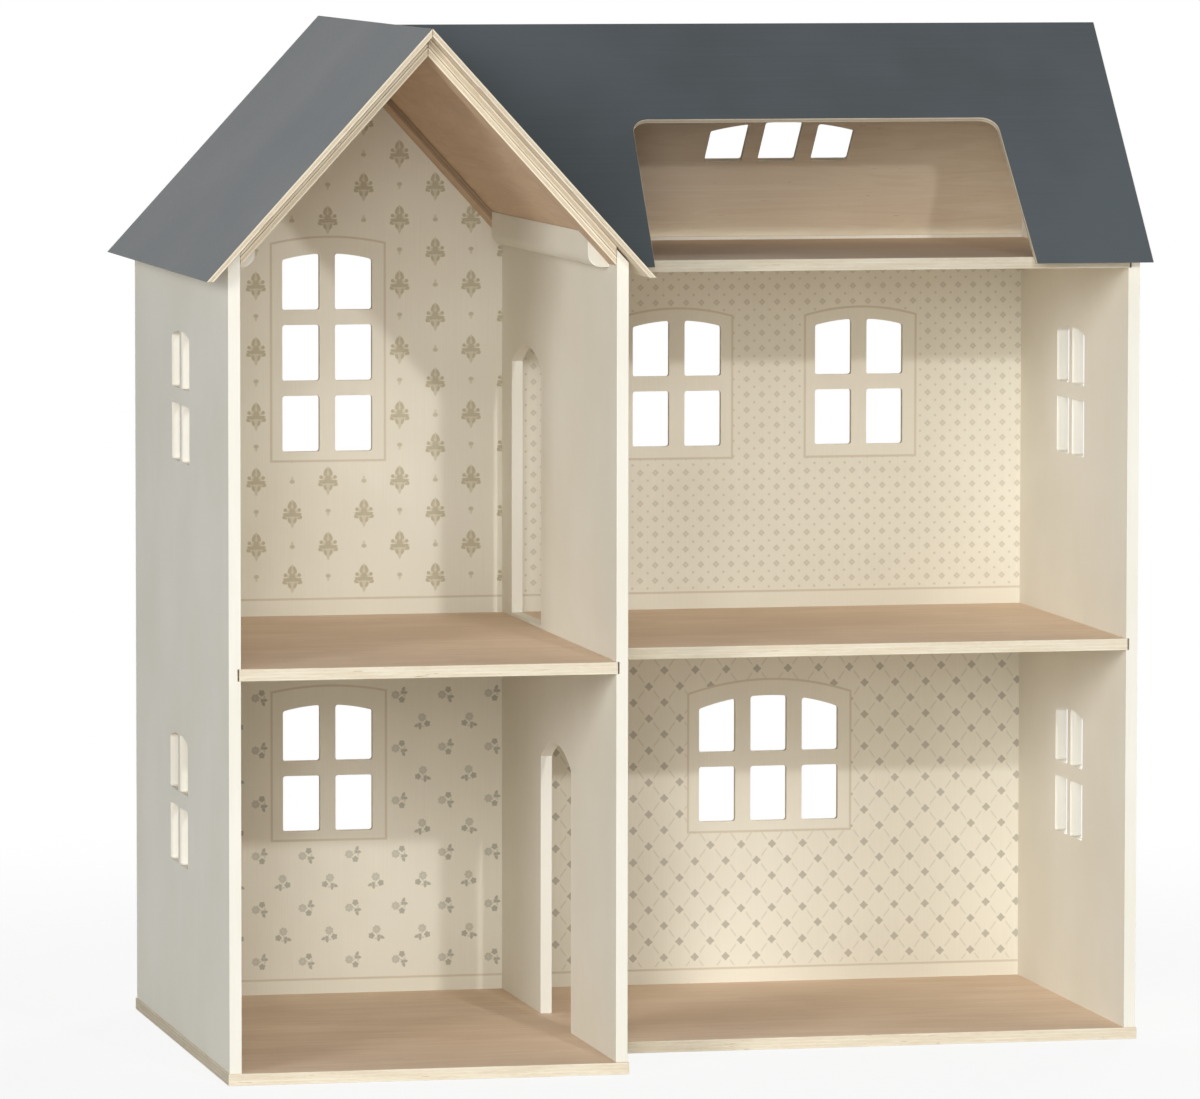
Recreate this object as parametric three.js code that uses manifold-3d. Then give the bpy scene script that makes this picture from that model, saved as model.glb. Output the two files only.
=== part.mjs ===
// Wooden dollhouse, open at the front. A gabled left wing stands forward of a longer right wing.
// Millimetres, +Z up, the open front faces -Y, +X is to the right seen from the front.

import * as THREE from "three";
import Module from "manifold-3d";
import { mergeVertices } from "three/addons/utils/BufferGeometryUtils.js";

const wasm = await Module();
wasm.setup();

// ---------------------------------------------------------------------------
// Driving sizes
// ---------------------------------------------------------------------------

// Boards
const wallThickness = 9;
const floorThickness = 9;
const baseThickness = 9;
const backThickness = 5;
const roofThickness = 4;
const liningThickness = 5;
const battenThickness = 4.5;

// Plan of the two wings, measured over the outside of the walls
const leftWingWidth = 301;
const rightWingWidth = 423;
const leftWingDepth = 428.5;
const rightWingDepth = 320.5;
const baseLip = 1;

// Clear heights of the rooms
const groundRoomHeight = 291;
const upperRoomHeight = 284;

// Outside face of both roofs where it passes over the outside of the walls, above the attic floor
const roofSpringHeight = 14.3;

// Gable roof over the left wing: slope, overhangs and the ridge's offset from the wing's middle
const gablePitch = 47.6;
const gableRidgeOffset = -1;
const gableSideOverhang = 19;
const gableFrontOverhang = 18.5;
const roofBackOverhang = 18.5;

// Main roof over the right wing
const mainPitch = 45.4;
const mainFrontOverhang = 14.5;
const mainRightOverhang = 7;

// Cut-out in the front slope of the main roof
const cutoutCentreX = 490.5;
const cutoutTopWidth = 287;
const cutoutBottomWidth = 297;
const cutoutTopBelowRidge = 101;
const cutoutCornerRadius = 13;

// Joints between the boards
const grooveDepth = 2.5;
const floorTongue = 1.2;
const rabbetDepth = 3;
const layerGap = 0.2;
const fitGap = 0.3;
const wallTopGap = 1.5;
const kneeStripHeight = 2.5;

// Battens and rails under the gable roof
const frontBattenWidth = 28;
const backBattenWidth = 36;
const railWidth = 16;
const railWallHeight = 8.5;
const railCornerRadius = 10;

// Doorways through the partition
const doorWidth = 112;
const doorSideHeight = 201;
const doorArchRise = 15.5;
const doorSillHeight = 3;
const lowerDoorFromBack = 210.5;
const upperDoorFromBack = 98.5;

// Windows: panes shared by all groups
const paneHeight = 43.9;
const transomHeight = 11.8;
const paneCornerRadius = 2;
const backPaneWidth = 29.6;
const backMullionWidth = 12.4;
const sidePaneWidth = 35.5;
const sideMullionWidth = 9;
const pairTopPaneHeight = 39.4;
const pairArchRise = 4.8;
const tripleTopPaneHeight = 34.7;
const tripleArchRise = 10;
const atticPaneWidth = 29.8;
const atticMullionWidth = 13;
const atticSillBelowRidge = 152.3;

// Window positions: sill above the floor of the room, centre across the wall
const backSillHeight = 129.3;
const sideSillHeight = 130;
const leftUpperSideSillHeight = 138;
const leftBackWindowX = 151.8;
const rightBackWindowX = 507.5;
const rightBackWindowSpacing = 148.4;
const rightLowerWindowX = 508.8;
const atticWindowX = 501.3;
const leftUpperWindowFromBack = 216;
const leftLowerWindowFromBack = 204.5;
const rightUpperWindowFromBack = 155.5;
const rightLowerWindowFromBack = 157;

// ---------------------------------------------------------------------------
// Sizes that follow from the ones above
// ---------------------------------------------------------------------------

const houseWidth = leftWingWidth + rightWingWidth;
const leftRoomStart = wallThickness;
const partitionStart = leftWingWidth - wallThickness;
const rightRoomStart = leftWingWidth;
const rightWallStart = houseWidth - wallThickness;

const baseTop = baseThickness;
const firstFloorBottom = baseTop + groundRoomHeight;
const firstFloorTop = firstFloorBottom + floorThickness;
const atticFloorBottom = firstFloorTop + upperRoomHeight;
const atticFloorTop = atticFloorBottom + floorThickness;
const kneeStripTop = atticFloorTop + kneeStripHeight;

const roofBack = roofBackOverhang;
const gableFront = -leftWingDepth - gableFrontOverhang;
const mainFront = -rightWingDepth - mainFrontOverhang;
const mainRight = houseWidth + mainRightOverhang;
const mainRidgeY = (mainFront + roofBack) / 2;

const gableAxisX = leftWingWidth / 2 + gableRidgeOffset;
const gableTan = Math.tan(THREE.MathUtils.degToRad(gablePitch));
const gableCos = Math.cos(THREE.MathUtils.degToRad(gablePitch));
const gableHalfRun = gableAxisX + gableSideOverhang;
const gableRidgeHeight = atticFloorTop + roofSpringHeight + gableAxisX * gableTan;
const gableEaveHeight = gableRidgeHeight - gableHalfRun * gableTan;

const mainTan = Math.tan(THREE.MathUtils.degToRad(mainPitch));
const mainCos = Math.cos(THREE.MathUtils.degToRad(mainPitch));
const mainSin = Math.sin(THREE.MathUtils.degToRad(mainPitch));
const mainHalfRun = mainRidgeY - mainFront;
const mainRidgeHeight = atticFloorTop + roofSpringHeight - mainRidgeY * mainTan;
const mainEaveHeight = mainRidgeHeight - mainHalfRun * mainTan;

// Depths below the outside face of the gable roof, square to the slope
const liningTopDepth = roofThickness + layerGap;
const liningUndersideDepth = liningTopDepth + liningThickness;
const battenTopDepth = liningUndersideDepth + layerGap;
const battenUndersideDepth = battenTopDepth + battenThickness;
const wallTopDepth = roofThickness + wallTopGap;

const pairWindow = { topHeight: pairTopPaneHeight, rise: pairArchRise };
const tripleWindow = { topHeight: tripleTopPaneHeight, rise: tripleArchRise };
const atticSash = { width: atticPaneWidth, mullion: atticMullionWidth };
const backSash = { width: backPaneWidth, mullion: backMullionWidth };
const sideSash = { width: sidePaneWidth, mullion: sideMullionWidth };

// The origin of the part is under the middle of its outline.
const centreX = (mainRight + gableAxisX - gableHalfRun) / 2;
const centreY = (gableFront + roofBack) / 2;

// ---------------------------------------------------------------------------
// Materials
// ---------------------------------------------------------------------------

function finish(colour, roughness) {
  return new THREE.MeshStandardMaterial({ color: colour, roughness, metalness: 0 });
}

const paintedCream = finish(0xefe9d8, 0.62);
const printedPaper = finish(0xe2d5bb, 0.7);
const barePly = finish(0xc9ab7e, 0.68);
const slatePaint = finish(0x565f62, 0.6);

const house = new THREE.Group();
house.name = "wooden_dollhouse";

function addPiece(name, geometry, material) {
  geometry.translate(-centreX, -centreY, 0);
  const mesh = new THREE.Mesh(geometry, material.clone());
  mesh.name = name;
  mesh.material.name = material.name || name;
  house.add(mesh);
}

// ---------------------------------------------------------------------------
// Boards cut from flat outlines
// ---------------------------------------------------------------------------

// A board whose faces look along X. The outline is drawn in Y and Z.
function boardAcrossX(outline, startX, thickness) {
  const axes = new THREE.Matrix4().makeBasis(
    new THREE.Vector3(0, 1, 0),
    new THREE.Vector3(0, 0, 1),
    new THREE.Vector3(1, 0, 0),
  );
  axes.setPosition(startX, 0, 0);
  return extrude(outline, thickness).applyMatrix4(axes);
}

// A board whose faces look along Y. The outline is drawn in X and Z, and the board runs forward
// from its back face.
function boardAcrossY(outline, backFace, thickness) {
  const axes = new THREE.Matrix4().makeBasis(
    new THREE.Vector3(1, 0, 0),
    new THREE.Vector3(0, 0, 1),
    new THREE.Vector3(0, -1, 0),
  );
  axes.setPosition(0, backFace, 0);
  return extrude(outline, thickness).applyMatrix4(axes);
}

// A board whose faces look along Z. The outline is drawn in X and Y.
function boardAcrossZ(outline, bottom, thickness) {
  return extrude(outline, thickness).translate(0, 0, bottom);
}

function extrude(outline, thickness) {
  return new THREE.ExtrudeGeometry(outline, { depth: thickness, bevelEnabled: false });
}

function outlineOf(points, holes = []) {
  const shape = new THREE.Shape(points.map(([a, b]) => new THREE.Vector2(a, b)));
  for (const hole of holes) {
    shape.holes.push(new THREE.Path(hole.map(([a, b]) => new THREE.Vector2(a, b))));
  }
  return shape;
}

function rectangle(left, right, bottom, top) {
  return [[left, bottom], [right, bottom], [right, top], [left, top]];
}

function block(x0, x1, y0, y1, z0, z1) {
  const box = new THREE.BoxGeometry(x1 - x0, y1 - y0, z1 - z0);
  return box.translate((x0 + x1) / 2, (y0 + y1) / 2, (z0 + z1) / 2);
}

// ---------------------------------------------------------------------------
// Cutting
// ---------------------------------------------------------------------------

function toSolid(geometry) {
  const bare = geometry.clone();
  bare.deleteAttribute("normal");
  bare.deleteAttribute("uv");
  const merged = mergeVertices(bare, 1e-4);
  return new wasm.Manifold(new wasm.Mesh({
    numProp: 3,
    vertProperties: new Float32Array(merged.attributes.position.array),
    triVerts: new Uint32Array(merged.index.array),
  }));
}

function toGeometry(solid) {
  const mesh = solid.getMesh();
  const indexed = new THREE.BufferGeometry();
  indexed.setAttribute("position", new THREE.BufferAttribute(mesh.vertProperties, 3));
  indexed.setIndex(new THREE.BufferAttribute(mesh.triVerts, 1));
  const faceted = indexed.toNonIndexed();
  faceted.computeVertexNormals();
  return faceted;
}

function cut(geometry, cutters) {
  let solid = toSolid(geometry);
  for (const cutter of cutters) {
    solid = solid.subtract(toSolid(cutter));
  }
  return toGeometry(solid);
}

// ---------------------------------------------------------------------------
// Outlines with arcs
// ---------------------------------------------------------------------------

// Rounds every corner of a closed loop to the radius given with it.
function roundCorners(corners, steps = 3) {
  const loop = [];
  corners.forEach(([x, y, radius = 0], index) => {
    if (radius === 0) {
      loop.push([x, y]);
      return;
    }
    const corner = new THREE.Vector2(x, y);
    const before = corners[(index + corners.length - 1) % corners.length];
    const after = corners[(index + 1) % corners.length];
    const back = new THREE.Vector2(before[0] - x, before[1] - y).normalize();
    const ahead = new THREE.Vector2(after[0] - x, after[1] - y).normalize();
    const halfAngle = Math.acos(THREE.MathUtils.clamp(back.dot(ahead), -1, 1)) / 2;
    const setback = radius / Math.tan(halfAngle);
    const start = corner.clone().addScaledVector(back, setback);
    const end = corner.clone().addScaledVector(ahead, setback);
    const bisector = back.clone().add(ahead).normalize();
    const centre = corner.clone().addScaledVector(bisector, radius / Math.sin(halfAngle));
    const from = start.clone().sub(centre).angle();
    let turn = end.clone().sub(centre).angle() - from;
    turn = Math.atan2(Math.sin(turn), Math.cos(turn));
    for (let step = 0; step <= steps; step += 1) {
      const angle = from + (turn * step) / steps;
      loop.push([centre.x + radius * Math.cos(angle), centre.y + radius * Math.sin(angle)]);
    }
  });
  return loop;
}

// Height of a flat arch above its springing, at a distance from its middle.
function archHeight(offset, halfWidth, rise) {
  const radius = (halfWidth * halfWidth + rise * rise) / (2 * rise);
  return Math.sqrt(radius * radius - offset * offset) - (radius - rise);
}

// Panes of one arched window group, as closed loops.
function windowPanes({ centre, sill, columns, rows, sash, top, lowHeight = paneHeight }) {
  const pitch = sash.width + sash.mullion;
  const halfWidth = (columns * pitch - sash.mullion) / 2;
  const panes = [];
  for (let column = 0; column < columns; column += 1) {
    const left = centre - halfWidth + column * pitch;
    const right = left + sash.width;
    for (let row = 0; row < rows; row += 1) {
      const bottom = sill + row * (lowHeight + transomHeight);
      const isTop = row === rows - 1;
      panes.push(isTop
        ? archedPane(left, right, bottom, centre, halfWidth, top)
        : roundCorners(rectangle(left, right, bottom, bottom + lowHeight)
          .map(([x, y]) => [x, y, paneCornerRadius])));
    }
  }
  return panes;
}

function archedPane(left, right, bottom, centre, halfWidth, top) {
  const segments = 5;
  const loop = [[left, bottom, paneCornerRadius], [right, bottom, paneCornerRadius]];
  for (let step = segments; step >= 0; step -= 1) {
    const x = left + ((right - left) * step) / segments;
    const y = bottom + top.topHeight + archHeight(x - centre, halfWidth, top.rise);
    const isCorner = step === segments || step === 0;
    loop.push([x, y, isCorner ? paneCornerRadius : 0]);
  }
  return roundCorners(loop);
}

// Closed loop of a doorway with a flat arch, from its threshold up.
function doorway(fromBack, floorTop, threshold) {
  const half = doorWidth / 2;
  const segments = 14;
  const springing = floorTop + doorSideHeight;
  const loop = [[-fromBack - half, threshold], [-fromBack + half, threshold]];
  for (let step = segments; step >= 0; step -= 1) {
    const offset = -half + (doorWidth * step) / segments;
    loop.push([-fromBack + offset, springing + archHeight(offset, half, doorArchRise)]);
  }
  return loop;
}

// ---------------------------------------------------------------------------
// Roof planes
// ---------------------------------------------------------------------------

// Height of the gable roof at x, at a depth below its outside face.
function gableHeight(x, depth) {
  return gableRidgeHeight - Math.abs(x - gableAxisX) * gableTan - depth / gableCos;
}

// Height of the main roof at y, at a depth below its outside face.
function mainHeight(y, depth) {
  return mainRidgeHeight - Math.abs(y - mainRidgeY) * mainTan - depth / mainCos;
}

// Cross-section of a layer under one gable slope, from the ridge down to a plumb cut.
function gableLayer(side, topDepth, undersideDepth, endX) {
  const ridgeX = gableAxisX + side * layerGap;
  return [
    [ridgeX, gableHeight(ridgeX, topDepth)],
    [ridgeX, gableHeight(ridgeX, undersideDepth)],
    [endX, gableHeight(endX, undersideDepth)],
    [endX, gableHeight(endX, topDepth)],
  ];
}

// Everything above the plane that a wall top is bevelled to.
function aboveWallTop(startX, endX) {
  const x0 = startX - 1;
  const x1 = endX + 1;
  const high = gableRidgeHeight + 50;
  const profile = outlineOf([
    [x0, gableHeight(x0, wallTopDepth)],
    [x1, gableHeight(x1, wallTopDepth)],
    [x1, high],
    [x0, high],
  ]);
  return boardAcrossY(profile, 1, leftWingDepth + 2);
}

// ---------------------------------------------------------------------------
// Base, walls and floors
// ---------------------------------------------------------------------------

function makeBase() {
  const left = -baseLip;
  const right = houseWidth + baseLip;
  const back = baseLip;
  const leftFront = -leftWingDepth - baseLip;
  const rightFront = -rightWingDepth - baseLip;
  const corner = leftWingWidth + baseLip;
  const outline = outlineOf([
    [left, leftFront],
    [corner, leftFront],
    [corner, rightFront],
    [right, rightFront],
    [right, back],
    [left, back],
  ]);
  addPiece("base_board", boardAcrossZ(outline, 0, baseThickness), barePly);
}

// Groove for the end of a floor, in the face of a wall at faceX. Side is +1 when the wall stands
// to the right of that face.
function floorGroove(faceX, side, bottom, depthFromBack) {
  const inner = faceX + side * grooveDepth;
  const outer = faceX - side;
  const x0 = Math.min(inner, outer);
  const x1 = Math.max(inner, outer);
  return block(x0, x1, -depthFromBack, 1, bottom, bottom + floorThickness);
}

// Rabbet for the edge of a back wall, in the face of a wall at faceX.
function backRabbet(faceX, side) {
  const inner = faceX + side * rabbetDepth;
  const outer = faceX - side;
  const x0 = Math.min(inner, outer);
  const x1 = Math.max(inner, outer);
  return block(x0, x1, -backThickness, 1, baseTop - 1, gableRidgeHeight);
}

function makeLeftSideWall() {
  const top = gableHeight(leftRoomStart, wallTopDepth) + 1;
  const holes = [
    ...windowPanes({
      centre: -leftUpperWindowFromBack,
      sill: firstFloorTop + leftUpperSideSillHeight,
      columns: 2,
      rows: 2,
      sash: sideSash,
      top: pairWindow,
    }),
    ...windowPanes({
      centre: -leftLowerWindowFromBack,
      sill: baseTop + sideSillHeight,
      columns: 2,
      rows: 2,
      sash: sideSash,
      top: pairWindow,
    }),
  ];
  const outline = outlineOf(rectangle(-leftWingDepth, 0, baseTop, top), holes);
  const board = cut(boardAcrossX(outline, 0, wallThickness), [
    aboveWallTop(0, leftRoomStart),
    floorGroove(leftRoomStart, -1, firstFloorBottom, leftWingDepth + 1),
    backRabbet(leftRoomStart, -1),
  ]);
  addPiece("left_side_wall", board, paintedCream);
}

function makePartitionWall() {
  const top = gableHeight(partitionStart, wallTopDepth) + 1;
  const lowerDoor = doorway(lowerDoorFromBack, baseTop, baseTop);
  const upperDoor = doorway(upperDoorFromBack, firstFloorTop, firstFloorTop + doorSillHeight);
  const outline = outlineOf([
    [-leftWingDepth, baseTop],
    lowerDoor[0],
    ...lowerDoor.slice(2).reverse(),
    lowerDoor[1],
    [0, baseTop],
    [0, top],
    [-leftWingDepth, top],
  ], [upperDoor]);
  const board = cut(boardAcrossX(outline, partitionStart, wallThickness), [
    aboveWallTop(partitionStart, rightRoomStart),
    floorGroove(partitionStart, 1, firstFloorBottom, leftWingDepth + 1),
    floorGroove(rightRoomStart, -1, firstFloorBottom, rightWingDepth),
    floorGroove(rightRoomStart, -1, atticFloorBottom, rightWingDepth),
    backRabbet(partitionStart, 1),
    backRabbet(rightRoomStart, -1),
  ]);
  addPiece("partition_wall", board, paintedCream);
}

function makeRightSideWall() {
  const depth = roofThickness + fitGap;
  const holes = [
    ...windowPanes({
      centre: -rightUpperWindowFromBack,
      sill: firstFloorTop + sideSillHeight,
      columns: 2,
      rows: 2,
      sash: sideSash,
      top: pairWindow,
    }),
    ...windowPanes({
      centre: -rightLowerWindowFromBack,
      sill: baseTop + sideSillHeight,
      columns: 2,
      rows: 2,
      sash: sideSash,
      top: pairWindow,
    }),
  ];
  const outline = outlineOf([
    [-rightWingDepth, baseTop],
    [0, baseTop],
    [0, mainHeight(0, depth)],
    [mainRidgeY, mainHeight(mainRidgeY, depth)],
    [-rightWingDepth, mainHeight(-rightWingDepth, depth)],
  ], holes);
  const board = cut(boardAcrossX(outline, rightWallStart, wallThickness), [
    floorGroove(rightWallStart, 1, firstFloorBottom, rightWingDepth + 1),
    floorGroove(rightWallStart, 1, atticFloorBottom, rightWingDepth + 1),
    backRabbet(rightWallStart, 1),
  ]);
  addPiece("right_side_wall", board, paintedCream);
}

function makeLeftBackWall() {
  const left = leftRoomStart - rabbetDepth + fitGap;
  const right = partitionStart + rabbetDepth - fitGap;
  const holes = [
    ...windowPanes({
      centre: leftBackWindowX,
      sill: firstFloorTop + backSillHeight,
      columns: 2,
      rows: 3,
      sash: backSash,
      top: pairWindow,
    }),
    ...windowPanes({
      centre: leftBackWindowX,
      sill: baseTop + backSillHeight,
      columns: 2,
      rows: 2,
      sash: backSash,
      top: pairWindow,
    }),
  ];
  const outline = outlineOf([
    [left, baseTop],
    [right, baseTop],
    [right, gableHeight(right, wallTopDepth)],
    [gableAxisX, gableHeight(gableAxisX, wallTopDepth)],
    [left, gableHeight(left, wallTopDepth)],
  ], holes);
  addPiece("back_wall_left", boardAcrossY(outline, 0, backThickness), printedPaper);
}

function makeRightBackWall() {
  const left = rightRoomStart - rabbetDepth + fitGap;
  const right = rightWallStart + rabbetDepth - fitGap;
  const upper = [-1, 1].flatMap((side) => windowPanes({
    centre: rightBackWindowX + (side * rightBackWindowSpacing) / 2,
    sill: firstFloorTop + backSillHeight,
    columns: 2,
    rows: 2,
    sash: backSash,
    top: pairWindow,
  }));
  const lower = windowPanes({
    centre: rightLowerWindowX,
    sill: baseTop + backSillHeight,
    columns: 3,
    rows: 2,
    sash: backSash,
    top: tripleWindow,
  });
  const outline = outlineOf(rectangle(left, right, baseTop, kneeStripTop), [...upper, ...lower]);
  addPiece("back_wall_right", boardAcrossY(outline, 0, backThickness), printedPaper);
}

function makeFloor(name, roomStart, roomEnd, depth, bottom) {
  const outline = outlineOf(rectangle(
    roomStart - floorTongue,
    roomEnd + floorTongue,
    -depth,
    -backThickness,
  ));
  addPiece(name, boardAcrossZ(outline, bottom, floorThickness), barePly);
}

// ---------------------------------------------------------------------------
// Gable roof
// ---------------------------------------------------------------------------

function makeGableRoofSlope(name, side) {
  const ridgeX = gableAxisX + side * layerGap;
  const eaveX = gableAxisX + side * gableHalfRun;
  const eaveInnerRun = (gableRidgeHeight - roofThickness / gableCos - gableEaveHeight) / gableTan;
  const outline = outlineOf([
    [ridgeX, gableHeight(ridgeX, 0)],
    [ridgeX, gableHeight(ridgeX, roofThickness)],
    [gableAxisX + side * eaveInnerRun, gableEaveHeight],
    [eaveX, gableEaveHeight],
  ]);
  const board = boardAcrossY(outline, roofBack, roofBack - gableFront);
  addPiece(name, side < 0 ? board : cut(board, [rightWingNotch()]), slatePaint);
}

// The right eave overhangs only in front of the right wing. Behind that front it is notched clear
// of the attic floor and of the back wall.
function rightWingNotch() {
  const right = gableAxisX + gableHalfRun + 1;
  const top = kneeStripTop + wallTopGap;
  return block(
    rightRoomStart,
    right,
    -rightWingDepth - fitGap,
    roofBack + 1,
    gableEaveHeight - 1,
    top,
  );
}

function gableLayerEnd(side) {
  return side < 0 ? leftRoomStart + fitGap : partitionStart - fitGap;
}

function makeGableLining(name, side) {
  const outline = outlineOf(
    gableLayer(side, liningTopDepth, liningUndersideDepth, gableLayerEnd(side)),
  );
  const back = -backThickness - fitGap;
  addPiece(name, boardAcrossY(outline, back, leftWingDepth + back), barePly);
}

function makeGableBatten(name, side, back, width) {
  const outline = outlineOf(
    gableLayer(side, battenTopDepth, battenUndersideDepth, gableLayerEnd(side)),
  );
  addPiece(name, boardAcrossY(outline, back, width), barePly);
}

// Rail in the top corner of a wall, its lower room-side corner rounded.
function makeWallRail(name, wallFace, side) {
  const roomFace = wallFace - side * railWidth;
  const topDepth = liningUndersideDepth + fitGap;
  const wallTop = gableHeight(wallFace, topDepth);
  const corners = [
    [roomFace, wallTop - railWallHeight, railCornerRadius],
    [wallFace, wallTop - railWallHeight],
    [wallFace, wallTop],
    [roomFace, gableHeight(roomFace, topDepth)],
  ];
  const outline = outlineOf(roundCorners(corners, 8));
  const back = -backThickness - fitGap - backBattenWidth - fitGap;
  const front = -leftWingDepth + frontBattenWidth + fitGap;
  addPiece(name, boardAcrossY(outline, back, back - front), paintedCream);
}

// ---------------------------------------------------------------------------
// Main roof
// ---------------------------------------------------------------------------

// Everything on the gable side of the valley.
function beyondValley() {
  const clearance = -fitGap;
  const low = mainEaveHeight - 50;
  const high = mainRidgeHeight + 30;
  const valleyX = (height) => (
    gableAxisX + (gableRidgeHeight - clearance / gableCos - height) / gableTan
  );
  const profile = outlineOf([
    [-gableHalfRun, low],
    [valleyX(low), low],
    [valleyX(high), high],
    [-gableHalfRun, high],
  ]);
  return boardAcrossY(profile, roofBack + 1, roofBack - mainFront + 2);
}

function mainSlopeBoard(side) {
  const ridgeY = mainRidgeY + side * layerGap;
  const eaveY = mainRidgeY + side * mainHalfRun;
  const eaveInnerRun = (mainRidgeHeight - roofThickness / mainCos - mainEaveHeight) / mainTan;
  const outline = outlineOf([
    [ridgeY, mainHeight(ridgeY, 0)],
    [ridgeY, mainHeight(ridgeY, roofThickness)],
    [mainRidgeY + side * eaveInnerRun, mainEaveHeight],
    [eaveY, mainEaveHeight],
  ]);
  return boardAcrossX(outline, gableAxisX, mainRight - gableAxisX);
}

// A plug square to one main slope. Its outline is drawn in X and in distance down the slope.
function slopePlug(side, loop) {
  const reach = roofThickness + 10;
  const down = new THREE.Vector3(0, side * mainCos, -mainSin);
  const along = new THREE.Vector3(1, 0, 0);
  const normal = new THREE.Vector3().crossVectors(along, down);
  const axes = new THREE.Matrix4().makeBasis(along, down, normal);
  axes.setPosition(new THREE.Vector3(0, mainRidgeY, mainRidgeHeight));
  return extrude(outlineOf(loop), 2 * reach).translate(0, 0, -reach).applyMatrix4(axes);
}

function makeMainRoofFront() {
  const slopeLength = mainHalfRun / mainCos;
  const past = slopeLength + 20;
  const spread = (cutoutBottomWidth - cutoutTopWidth) / 2;
  const splay = (spread * (past - cutoutTopBelowRidge)) / (slopeLength - cutoutTopBelowRidge);
  const halfTop = cutoutTopWidth / 2;
  const opening = roundCorners([
    [cutoutCentreX - halfTop, cutoutTopBelowRidge, cutoutCornerRadius],
    [cutoutCentreX + halfTop, cutoutTopBelowRidge, cutoutCornerRadius],
    [cutoutCentreX + halfTop + splay, past],
    [cutoutCentreX - halfTop - splay, past],
  ], 8);
  const board = cut(mainSlopeBoard(-1), [beyondValley(), slopePlug(-1, opening)]);
  addPiece("main_roof_front", board, slatePaint);
}

function makeMainRoofBack() {
  const panes = windowPanes({
    centre: atticWindowX,
    sill: 0,
    columns: 3,
    rows: 1,
    sash: atticSash,
    top: tripleWindow,
  });
  const plugs = panes.map((pane) => slopePlug(
    1,
    pane.map(([x, height]) => [x, atticSillBelowRidge - height]),
  ));
  const board = cut(mainSlopeBoard(1), [beyondValley(), ...plugs]);
  addPiece("main_roof_back", board, slatePaint);
}

// ---------------------------------------------------------------------------
// Assembly
// ---------------------------------------------------------------------------

makeBase();
makeLeftSideWall();
makePartitionWall();
makeRightSideWall();
makeLeftBackWall();
makeRightBackWall();
makeFloor("floor_left_first", leftRoomStart, partitionStart, leftWingDepth, firstFloorBottom);
makeFloor("floor_right_first", rightRoomStart, rightWallStart, rightWingDepth, firstFloorBottom);
makeFloor("floor_attic", rightRoomStart, rightWallStart, rightWingDepth, atticFloorBottom);

makeGableRoofSlope("gable_roof_left", -1);
makeGableRoofSlope("gable_roof_right", 1);
makeGableLining("gable_lining_left", -1);
makeGableLining("gable_lining_right", 1);
const frontBattenBack = -leftWingDepth + frontBattenWidth;
const backBattenBack = -backThickness - fitGap;
makeGableBatten("gable_batten_front_left", -1, frontBattenBack, frontBattenWidth);
makeGableBatten("gable_batten_front_right", 1, frontBattenBack, frontBattenWidth);
makeGableBatten("gable_batten_back_left", -1, backBattenBack, backBattenWidth);
makeGableBatten("gable_batten_back_right", 1, backBattenBack, backBattenWidth);
makeWallRail("wall_rail_left", leftRoomStart, -1);
makeWallRail("wall_rail_right", partitionStart, 1);

makeMainRoofFront();
makeMainRoofBack();

export default house;
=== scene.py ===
# %% [markdown]
# ## A wooden dollhouse, board by board
# The house is a gabled left wing and a longer right wing, all of thin birch plywood. The boards
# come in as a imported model, each a plain solid in its right place. That model is the frame: every
# board made here is a copy of one of its solids, with eased edges and a finish, so nothing can
# drift out of place.

# %% Open the frame
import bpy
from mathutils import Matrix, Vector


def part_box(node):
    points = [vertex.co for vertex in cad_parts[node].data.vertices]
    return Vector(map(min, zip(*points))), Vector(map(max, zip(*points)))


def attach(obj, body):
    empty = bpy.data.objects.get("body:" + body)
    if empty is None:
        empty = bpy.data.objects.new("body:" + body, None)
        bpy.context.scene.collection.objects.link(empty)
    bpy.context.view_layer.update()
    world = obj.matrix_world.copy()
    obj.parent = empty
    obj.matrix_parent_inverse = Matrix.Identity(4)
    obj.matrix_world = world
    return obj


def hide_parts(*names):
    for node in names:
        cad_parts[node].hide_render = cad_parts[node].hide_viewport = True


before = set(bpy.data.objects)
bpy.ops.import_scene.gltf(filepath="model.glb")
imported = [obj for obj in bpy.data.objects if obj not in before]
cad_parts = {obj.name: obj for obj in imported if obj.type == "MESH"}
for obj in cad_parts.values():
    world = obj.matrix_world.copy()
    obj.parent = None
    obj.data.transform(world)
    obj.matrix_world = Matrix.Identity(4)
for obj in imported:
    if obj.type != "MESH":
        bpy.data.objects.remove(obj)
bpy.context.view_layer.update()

import functools
import math

import bmesh
import bpy
from mathutils import Euler, Matrix, Vector

MM = 0.001

# %% [markdown]
# ## Where the rooms are
# The prints on the walls are set out from the boards: from the left face of a room, from the top
# of its floor, and from the inner face of its back wall. The boxes of the boards give all three,
# in metres. A box is a lowest corner and a highest corner, in that order.

# %% Rooms
LOW, HIGH = 0, 1

left_room_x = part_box("left_side_wall")[HIGH].x
right_room_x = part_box("partition_wall")[HIGH].x
ground_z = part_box("base_board")[HIGH].z
upper_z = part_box("floor_left_first")[HIGH].z
paper_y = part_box("back_wall_left")[LOW].y
print("rooms start at x", round(left_room_x, 4), round(right_room_x, 4))
print("floors at z", round(ground_z, 4), round(upper_z, 4), "back wall at y", round(paper_y, 4))

# %% [markdown]
# ## The pitch of the roofs
# Grain and ply layers lie along a slope, so the finishes have to be turned by its pitch. The
# largest face of a roof board is its painted one. The pitch is the angle between the way that
# face looks and straight up.

# %% Roof pitches
def pitch_of(node):
    """Slope of a roof board, from the way its largest face looks."""
    largest = max(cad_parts[node].data.polygons, key=lambda face: face.area)
    return math.acos(abs(largest.normal.z))


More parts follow.
